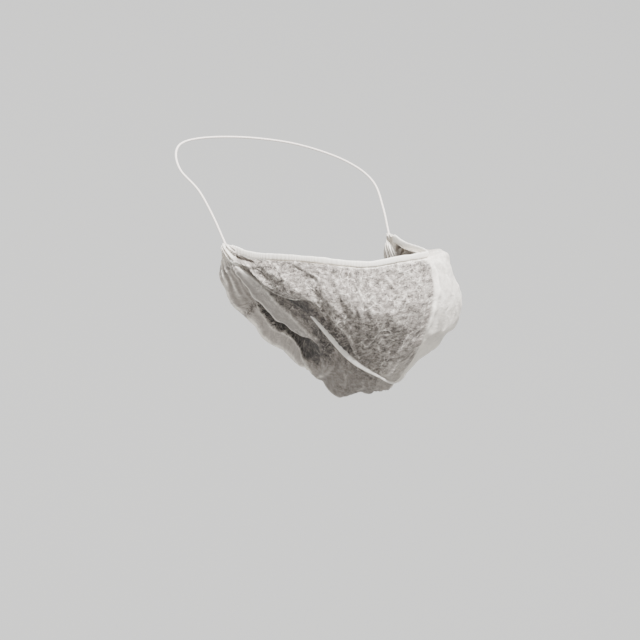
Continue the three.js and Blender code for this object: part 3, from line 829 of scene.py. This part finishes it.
# The lip: the near side of the pouch hangs over the lower band in a fold
UNDER_BAND = -0.05
LIP_LINE = [(0.15, 0.50), (0.171, 0.57), (0.190, 0.61), (0.208, 0.61), (0.233, 0.585),
            (0.259, 0.54), (0.280, 0.51), (0.304, 0.45), (0.36, 0.42)]
LIP_FROM, LIP_TO = 0.105, 0.335
LIP_STAND_OFF = 0.0036
LIP_EDGE = 0.70
UPPER_EDGE_TONE, UPPER_EDGE_REACH = 0.6, 0.015
LIP_SHADE = 0.35
LIP_BENDS = [
    (0.00, "top", 0.00, 0.0),
    (0.30, "lip", -0.32, 0.0),
    (0.56, "lip", -0.10, 0.7),
    (LIP_EDGE, "lip", 0.015, 1.0),
    (0.75, "lip", 0.010, 0.5),
    (0.86, "lip", -0.06, 0.1),
    (1.00, "end", 0.00, 0.0),
]

lip_place = np.clip((cloth_across - LIP_FROM) / (LIP_TO - LIP_FROM), 0, 1)
lip_amount = plateau(lip_place, 0, 0.38, 0.64, 1)
pouch_down, pouch_off = folded_down(
    cloth_share, LIP_BENDS,
    {"top": UNDER_BAND, "lip": line_down(LIP_LINE, cloth_across), "end": LOWER_LINE},
    UNDER_BAND + (LOWER_LINE - UNDER_BAND) * cloth_share,
    lip_amount,
)
fold_height, fold_slide, fold_crest = fold_relief(POUCH_FOLDS, cloth_across, pouch_down)
held = band_hold(pouch_down)
normal, downhill = cloth_frame(cloth_across, pouch_down)
past_lip = ease(cloth_share, LIP_EDGE, 0.80) * lip_amount
from_lip_edge = cloth_share - LIP_EDGE
pouch_relief = fold_height + wrinkle_relief(cloth_across, pouch_down, 11)
pouch_relief *= (1 - 0.7 * past_lip) * (1 - 0.8 * bell(from_lip_edge, 0.08) * lip_amount)
pouch_height = pouch_relief * (0.12 + 0.88 * held) + LIP_STAND_OFF * pouch_off
pouch_places = (
    plain_cloth(cloth_across, pouch_down)
    + pouch_height[..., None] * normal
    + (fold_slide * held * (1 - past_lip))[..., None] * downhill
)
# The layers below also carry painted light: a pale line on fold crests and the lip's edge, partly
# the doubled cloth and partly a painted highlight, painted shade past the lip's edge, and painted
# highlights and shade on the fan pleats
pouch_layers_and_light, pouch_grain = zone_shares(cloth_across, pouch_down)
pouch_layers_and_light += (
    UPPER_EDGE_TONE * np.exp(-np.maximum(pouch_down, 0) / UPPER_EDGE_REACH)
    + BUNCH_TONE * near_bunch(cloth_across, BUNCH_TONE_REACH)
    + CREST_TONE * fold_crest
    + EDGE_TONE * bell(from_lip_edge, 0.025) * lip_amount
    - LIP_SHADE * past_lip
    + PLEAT_LIGHT_AND_SHADE * pleat_light_and_shade(cloth_across, pouch_down)
)
pouch_grain *= 1 - 0.6 * np.clip(fold_crest, 0, 1)
pouch = cloth_piece("pouch_cloth", pouch_places, pouch_layers_and_light, pouch_grain)
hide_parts("pouch")


# Chin skirt
# The rest of the same cloth, below the lower band. On the near side it is folded down over itself
# in a doubled strip, and everywhere its free edge stands out in a ruffle.
RUFFLE_HEIGHT = 0.0036
RUFFLE_WAVES = 11

SKIRT_FOLDS = {
    "hollow inside the rim seam": (0.0045, -0.0034, 0.0, [
        (0.21, 0.83), (0.235, 0.87), (0.27, 0.86), (0.32, 0.85), (0.37, 0.8)]),
    "near hem roll": (0.004, 0.0022, 0.0, [
        (0.05, 0.95), (0.15, 0.97), (0.25, 0.98), (0.36, 0.965), (0.4, 0.93)]),
    "near flap": (0.008, 0.003, 0.85, [(0.392, 1.02), (0.404, 0.93), (0.415, 0.84), (0.42, 0.76)]),
    "end pleat": (0.004, 0.0016, 0.3, [
        (0.01, 0.4), (0.061, 0.81), (0.098, 0.83), (0.131, 0.87), (0.17, 0.9)]),
    "rear pleat": (0.003, 0.0012, 0.2, [(0.02, 0.7), (0.06, 0.89), (0.1, 0.92), (0.16, 0.95)]),
    "skirt crease": (0.0025, 0.0005, 0.2, [(0.43, 0.7), (0.46, 0.8), (0.47, 0.9)]),
    "second skirt crease": (0.0025, 0.0009, 0.2, [(0.5, 0.72), (0.52, 0.82), (0.51, 0.94)]),
    "far ruffle strip": (0.008, 0.0036, 0.5, [(0.69, 0.8), (0.82, 0.79), (0.95, 0.74)]),
}


def ruffle_relief(across, down):
    """Waves along the free edge that grow with the power 1.5 from the lower band to the edge,
    die out at the bunches and drift to and fro by a share of a wave."""
    drift = 0.2 * np.sin(7 * across)
    below = np.clip((down - LOWER_LINE) / (1 - LOWER_LINE), 0, 1)
    middle = np.sin(np.pi * across) ** 0.6
    wave = np.cos(2 * np.pi * (RUFFLE_WAVES * across + drift))
    return RUFFLE_HEIGHT / 2 * below**1.5 * middle * wave


# The near flap is doubled outside this line, a raised seam that curls round the hollow
SEAM_LINE = [(0.190, 0.78), (0.200, 0.84), (0.216, 0.885), (0.240, 0.90), (0.275, 0.895),
             (0.305, 0.89), (0.335, 0.90), (0.360, 0.93), (0.385, 0.98)]
SEAM_HALF_WIDTH = 0.009
SEAM_HEIGHT = 0.0016
SEAM_FLAP_LAYERS = 0.62
# A pale line on the seam's crest, partly the doubled cloth and partly a painted highlight
SEAM_TONE = 0.35

# The near strip: its upper and lower edges, and the bends of the cloth that doubles it
STRIP_TOP_LINE = [(0.04, 0.60), (0.10, 0.63), (0.190, 0.66), (0.215, 0.69), (0.244, 0.71),
                  (0.283, 0.73), (0.303, 0.745), (0.348, 0.73), (0.38, 0.71)]
STRIP_EDGE_LINE = [(0.04, 0.66), (0.080, 0.70), (0.133, 0.75), (0.172, 0.78), (0.205, 0.81),
                   (0.264, 0.815), (0.297, 0.815), (0.325, 0.785), (0.353, 0.745), (0.38, 0.72)]
STRIP_FROM, STRIP_TO = 0.045, 0.375
STRIP_STAND_OFF = 0.0026
STRIP_LAYERS = 0.60
# A pale line on the strip's upper crest, partly the doubled cloth and partly a painted highlight
STRIP_CREST, STRIP_CREST_TONE = 0.165, 0.20
STRIP_EDGE = 0.405
STRIP_SHADE, SHADE_GRAIN = 0.44, 0.6
STRIP_BENDS = [
    (0.00, "start", 0.000, 0.0),
    (0.12, "top", -0.005, 0.5),
    (0.18, "top", 0.015, 1.0),
    (0.40, "edge", 0.000, 1.1),
    (0.44, "edge", -0.006, 0.6),
    (0.58, "top", 0.015, 0.3),
    (0.64, "top", 0.030, 0.0),
    (1.00, "hem", 0.000, 0.0),
]

# The free edge is drawn up at this place, and paler than the rest along its whole length
HEM_NOTCH, HEM_NOTCH_PLACE, HEM_NOTCH_WIDTH = 0.045, 0.375, 0.025
HEM_TONE, HEM_TONE_REACH = 0.60, 0.02

strip_place = np.clip((cloth_across - STRIP_FROM) / (STRIP_TO - STRIP_FROM), 0, 1)
strip_amount = plateau(strip_place, 0, 0.25, 0.88, 1)
hem_line = 1 - HEM_NOTCH * bell(cloth_across - HEM_NOTCH_PLACE, HEM_NOTCH_WIDTH)
scallop = 0.006 * np.sin(strip_place * 34) + 0.004 * np.sin(strip_place * 61 + 1)
skirt_down, skirt_off = folded_down(
    cloth_share, STRIP_BENDS,
    {
        "start": LOWER_LINE,
        "top": line_down(STRIP_TOP_LINE, cloth_across),
        "edge": line_down(STRIP_EDGE_LINE, cloth_across) + scallop,
        "hem": hem_line,
    },
    LOWER_LINE + (hem_line - LOWER_LINE) * cloth_share,
    strip_amount,
)
fold_height, fold_slide, fold_crest = fold_relief(SKIRT_FOLDS, cloth_across, skirt_down)
held = band_hold(skirt_down)
below_strip = ease(cloth_share, 0.60, 0.70)
loose = 1 - strip_amount * (1 - below_strip)
from_seam = skirt_down - line_down(SEAM_LINE, cloth_across)
by_seam = plateau(cloth_across, 0.190, 0.205, 0.365, 0.385) * below_strip
on_seam = bell(from_seam, SEAM_HALF_WIDTH) * by_seam
past_seam = ease(from_seam, -0.005, 0.005) * by_seam
normal, downhill = cloth_frame(cloth_across, skirt_down)
skirt_height = (
    fold_height * held * loose
    + SEAM_HEIGHT * (on_seam + 0.5 * past_seam)
    + ruffle_relief(cloth_across, skirt_down)
    + wrinkle_relief(cloth_across, skirt_down, 29) * (0.3 + 0.7 * loose) * (0.12 + 0.78 * held)
    + STRIP_STAND_OFF * skirt_off
)
skirt_places = (
    plain_cloth(cloth_across, skirt_down)
    + skirt_height[..., None] * normal
    + (fold_slide * held * loose)[..., None] * downhill
)
on_strip = plateau(cloth_share, 0.12, 0.18, 0.42, 0.46) * strip_amount
in_shade = ease(cloth_share, 0.44, 0.50) * (1 - past_seam) * strip_amount
in_shade *= ease(cloth_across, 0.185, 0.20)
# Painted shade: the middle of the skirt, under the chin, is drawn a fifth darker
shaded_chin_middle = plateau(cloth_across, 0.40, 0.42, 0.60, 0.66)
# The layers below also carry painted light: painted shade under the strip and under the chin, a
# pale line, partly the doubled cloth and partly a painted highlight, on the seam, the strip's crest
# and edge and fold crests, and painted highlights and shade on the fan pleats
skirt_layers_and_light, skirt_grain = zone_shares(cloth_across, skirt_down)
skirt_layers_and_light += (
    (STRIP_LAYERS - skirt_layers_and_light) * on_strip
    + (SEAM_FLAP_LAYERS - skirt_layers_and_light) * past_seam
    - 0.20 * skirt_layers_and_light * shaded_chin_middle
    - STRIP_SHADE * in_shade
    + SEAM_TONE * on_seam
    + BUNCH_TONE * near_bunch(cloth_across, BUNCH_TONE_REACH)
    + HEM_TONE * np.exp(-(1 - cloth_share) / HEM_TONE_REACH)
    + EDGE_TONE * bell(cloth_share - STRIP_EDGE, 0.022) * strip_amount
    + STRIP_CREST_TONE * bell(cloth_share - STRIP_CREST, 0.03) * strip_amount
    + CREST_TONE * fold_crest * loose
    + PLEAT_LIGHT_AND_SHADE * pleat_light_and_shade(cloth_across, skirt_down)
)
skirt_grain *= (1 - 0.4 * on_strip) * (1 - 0.4 * past_seam)
skirt_grain += SHADE_GRAIN * in_shade - 0.1 * shaded_chin_middle
skirt = cloth_piece("chin_skirt_cloth", skirt_places, skirt_layers_and_light, skirt_grain)
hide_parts("chin_skirt")


# Upper band
# A narrow flat elastic in a hem: the cloth is turned over it and welded, so it is a thick white
# edge of several layers with small cross puckers where the elastic has drawn it in.
BAND_WIDTH = 0.004
BAND_THICKNESS = 0.0016
HUMP_SWELL = 0.9
HUMP_REACH = 0.06
BAND_STEPS = 1500
BAND_SIDES = 20
BAND_COLOUR = "#fffcf5"
BAND_SHADE = "#efe9df"
CROSS_PUCKER_WAVE = 0.0024


def band_cloth_material():
    """Gathered hem cloth: three or four layers welded together, so it hides what is behind it,
    is ivory white with a soft shine, and lets only a little light through."""
    material = new_material("welded_hem")
    flat = add_node(material, "TexCoord").outputs["UV"]
    cloud = add_node(material, "TexNoise", {
        "Vector": flat, "Scale": 500.0, "Detail": 4.0, "Roughness": 0.6,
    }, noise_dimensions="2D")
    tint = add_node(material, "Mix", {
        0: cloud.outputs["Fac"], 6: colour(BAND_SHADE), 7: colour(BAND_COLOUR),
    }, data_type="RGBA")
    bump = add_node(material, "Bump", {
        "Height": cloud.outputs["Fac"], "Strength": 0.5, "Distance": 0.0003,
    })
    fibres = add_node(material, "BsdfPrincipled", {
        "Base Color": tint.outputs[2], "Roughness": 0.55, "Sheen Weight": 0.1,
        "Normal": bump.outputs[0],
    })
    glow = add_node(material, "BsdfTranslucent", {"Color": tint.outputs[2]})
    cloth = add_node(material, "MixShader", {0: 0.2, 1: fibres.outputs[0], 2: glow.outputs[0]})
    add_node(material, "OutputMaterial", {"Surface": cloth.outputs[0]})
    return material


def hem_section(angle):
    """Round-cornered flat section: cosine and sine with the power 0.7, from -1 to 1."""
    return [np.sign(wave) * np.abs(wave) ** 0.7 for wave in (np.cos(angle), np.sin(angle))]


def band_piece(name, line, widthways, outward, width, seed):
    """Closed strip carried along a line, with cross puckers that swell and pinch its section."""
    run = distances_along(line)
    angle = np.arange(BAND_SIDES) * 2 * np.pi / BAND_SIDES
    flat_way, thick_way = hem_section(angle)
    uneven = smooth_noise(run / 0.02, np.zeros_like(run), seed)
    pucker = np.cos(2 * np.pi * (run / CROSS_PUCKER_WAVE + 1.5 * uneven))
    depth = 0.10 + 0.08 * smooth_noise(run / 0.009 + 7, np.zeros_like(run), seed + 1)
    swell = 1 + (depth * pucker)[:, None] * np.abs(np.sin(angle)) ** 0.5
    uneven_width = width * (1 + 0.2 * smooth_noise(run / 0.008, np.full_like(run, 5), seed + 2))
    places = carried(
        line, uneven_width[:, None] / 2 * flat_way * (1 + 0.6 * (swell - 1)), widthways,
        BAND_THICKNESS / 2 * thick_way * swell, outward,
    )
    flat = flat_places(angle / np.pi * BAND_WIDTH, run[:, None])
    piece = mesh_piece(name, places, ring_faces(len(line), BAND_SIDES), welded_hem, flat)
    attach(piece, "root")
    return piece


welded_hem = band_cloth_material()
band_across = np.linspace(CLOTH_START, 1 - CLOTH_START, BAND_STEPS + 1)
band_turn = knot_weights(ROW_PLACES, band_across) @ BAND_SECTIONS[:, 0]
level_out = oval_outward(band_turn)
upper_line = band_point(band_across)
upper_band = band_piece(
    "upper_band_hem", upper_line, np.broadcast_to([0.0, 0.0, -1.0], upper_line.shape), level_out,
    BAND_WIDTH * (1 + HUMP_SWELL * near_bunch(band_across, HUMP_REACH)), 51,
)
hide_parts("upper_band")


# Lower band
# The second elastic hem, where the pouch ends and the ruffle starts: narrower toward both ends, and
# half turned outward where the cloth slopes in below it.
LOWER_END_WIDTH = 0.5
LOWER_UPTURN = 0.9
LOWER_STAND_OFF = 0.0010
UNDER_FOLD_DEPTH = 0.0032

lower_line = plain_cloth(band_across, np.full_like(band_across, LOWER_LINE))
lower_normal = cloth_frame(band_across, np.full_like(band_across, LOWER_LINE))[0]
lower_outward = unit(lower_normal + 2 * level_out + np.array([0, 0, LOWER_UPTURN]))
lower_along = unit(np.gradient(lower_line, axis=0))
lower_widthways = unit(np.cross(lower_along, lower_outward))
lower_taper = LOWER_END_WIDTH + (1 - LOWER_END_WIDTH) * ease(band_across, 0.30, 0.42)
lower_taper *= 1 - 0.6 * ease(band_across, 0.42, 0.56)
under_fold = plateau(band_across, 0.06, 0.14, 0.29, 0.33)
lower_line = lower_line + (LOWER_STAND_OFF - UNDER_FOLD_DEPTH * under_fold)[:, None] * lower_outward
lower_band = band_piece(
    "lower_band_hem", lower_line, lower_widthways, lower_outward, BAND_WIDTH * lower_taper, 67,
)
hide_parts("lower_band")


# Gathers
# At each end the whole depth of the cloth is drawn together round the elastic and heat sealed: a
# fan of stiff narrow pleats, thick at the tip and thinning toward the pouch.
BUNCH_THICKNESS = 0.006
BUNCH_COLUMNS = 60
BUNCH_ROWS = 200
BUNCH_THINNING = 0.7
PLEAT_RELIEF = 0.0011
PLEAT_FADE = 0.35
BUNCH_GIRTH = 0.08
BUNCH_GRAIN = 0.2
BUNCH_RISE = BAND_TO_CLOTH + BAND_WIDTH / 2
BUNCH_END = across_at(BUNCH_LENGTH)


def closed_ends(values):
    """The same rings with one more at either end, nearly drawn in to its middle."""
    ends = values[[0, -1]]
    middles = ends.mean(axis=1, keepdims=True)
    drawn_in = middles + 0.02 * (ends - middles)
    return np.concatenate([drawn_in[:1], values, drawn_in[1:]])


def bunch_places(far_side):
    """Closed fan: round each column a flattened loop that follows the cloth down and back up,
    with the pleats from its tip across its two sides. The far one's corners run the other way
    round, so that its faces turn outward too."""
    from_tip, around = np.meshgrid(
        np.linspace(0, 1, BUNCH_COLUMNS + 1),
        np.arange(BUNCH_ROWS) / BUNCH_ROWS,
        indexing="ij",
    )
    across = from_tip * BUNCH_END
    down = 0.5 - 0.5 * np.cos(2 * np.pi * around)
    side = np.sin(2 * np.pi * around)
    if far_side:
        across = 1 - across
    centre = plain_cloth(across, down)
    centre[..., 2] += BUNCH_RISE * (1 - down) ** 3
    turn = knot_weights(ROW_PLACES, across) @ BAND_SECTIONS[:, 0]
    outward = oval_outward(turn)
    thin = (1 - BUNCH_THINNING * from_tip**2) * BUNCH_THICKNESS / 2
    body = np.sign(side) * np.abs(side) ** 0.5 * thin * 0.8
    grown = np.clip(from_tip * 4 + 0.25, 0, 1) * (1 - PLEAT_FADE * from_tip**2)
    grown *= np.abs(side) ** 0.5
    body = body + np.sign(side) * PLEAT_RELIEF * fan_pleats(centre) * grown
    fan = centre + body[..., None] * outward
    closed = [closed_ends(values) for values in (fan, across, down)]
    return [values[:, ::-1] for values in closed] if far_side else closed


sealed_pleats = net_material("sealed_pleats")
for side, far_side in (("right", False), ("left", True)):
    places, across, down = bunch_places(far_side)
    rings, sides = places.shape[:2]
    run = np.linspace(0, BUNCH_LENGTH, rings)[:, None]
    flat = flat_places(np.linspace(0, BUNCH_GIRTH, sides), run)
    gather = mesh_piece(
        f"gather_{side}_pleats", places, ring_faces(rings, sides), sealed_pleats, flat,
    )
    white = 1.0 - 0.45 * ease(fan_distance(places), 0.012, 0.030)
    # The pleat crests are painted lighter and the gaps between them darker, as painted highlights
    # and shade
    store_share(gather, "layers", white + PLEAT_LIGHT_AND_SHADE * pleat_light_and_shade(across, down))
    store_share(gather, "grain", np.full(places.shape[:2], BUNCH_GRAIN))
    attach(gather, "root")
    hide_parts(f"gather_{side}")


# Floor
# A plain matt floor, painted mid grey, well below the net, which keeps the height that it is worn
# at. Far off it sweeps up on every side, so that no view has a horizon.
FLOOR_DROP = 1.5
FLOOR_FLAT_RADIUS = 3.0
SWEEP_RADIUS = 4.0
SWEEP_RINGS, FLOOR_SIDES = 24, 96
FLOOR_COLOUR = "#7c7c7b"

floor_paint = new_material("floor_paint")
matt = add_node(floor_paint, "BsdfDiffuse", {"Color": colour(FLOOR_COLOUR)})
add_node(floor_paint, "OutputMaterial", {"Surface": matt.outputs[0]})
round_way, sweep = np.meshgrid(
    np.linspace(0, 2 * np.pi, FLOOR_SIDES, endpoint=False),
    np.linspace(0, np.pi / 2, SWEEP_RINGS),
    indexing="xy",
)
floor_radius = FLOOR_FLAT_RADIUS + SWEEP_RADIUS * np.sin(sweep)
floor_rings = np.stack([
    floor_radius * np.cos(round_way),
    floor_radius * np.sin(round_way),
    SWEEP_RADIUS * (1 - np.cos(sweep)) - FLOOR_DROP,
], axis=-1)
floor_middle = floor_rings[:1] * (0.001, 0.001, 1)
floor = mesh_piece(
    "floor", np.concatenate([floor_middle, floor_rings]),
    ring_faces(SWEEP_RINGS + 1, FLOOR_SIDES), floor_paint,
)


# Light
# Soft studio light: a white surround, a broad key high in front that rakes down the cloth, and a
# weaker lamp from behind and to its left that shines through it. Both act as if far off.
SURROUND_COLOUR = "#ffffff"
SURROUND_STRENGTH = 1.35
LAMPS = [
    {"name": "key", "from": (-0.10, -0.62, 0.90), "spread": 10.0, "strength": 16.0},
    {"name": "back", "from": (0.85, 0.35, 0.45), "spread": 20.0, "strength": 2.7},
]

world = bpy.data.worlds.new("surround")
world.use_nodes = True
background = world.node_tree.nodes["Background"]
background.inputs["Color"].default_value = colour(SURROUND_COLOUR)
background.inputs["Strength"].default_value = SURROUND_STRENGTH
bpy.context.scene.world = world

for lamp in LAMPS:
    data = bpy.data.lights.new(lamp["name"], "SUN")
    data.angle = math.radians(lamp["spread"])
    data.energy = lamp["strength"]
    light = bpy.data.objects.new(lamp["name"], data)
    light.location = Vector(lamp["from"]) * 2
    light.rotation_euler = Vector(lamp["from"]).to_track_quat("Z", "Y").to_euler()
    bpy.context.scene.collection.objects.link(light)
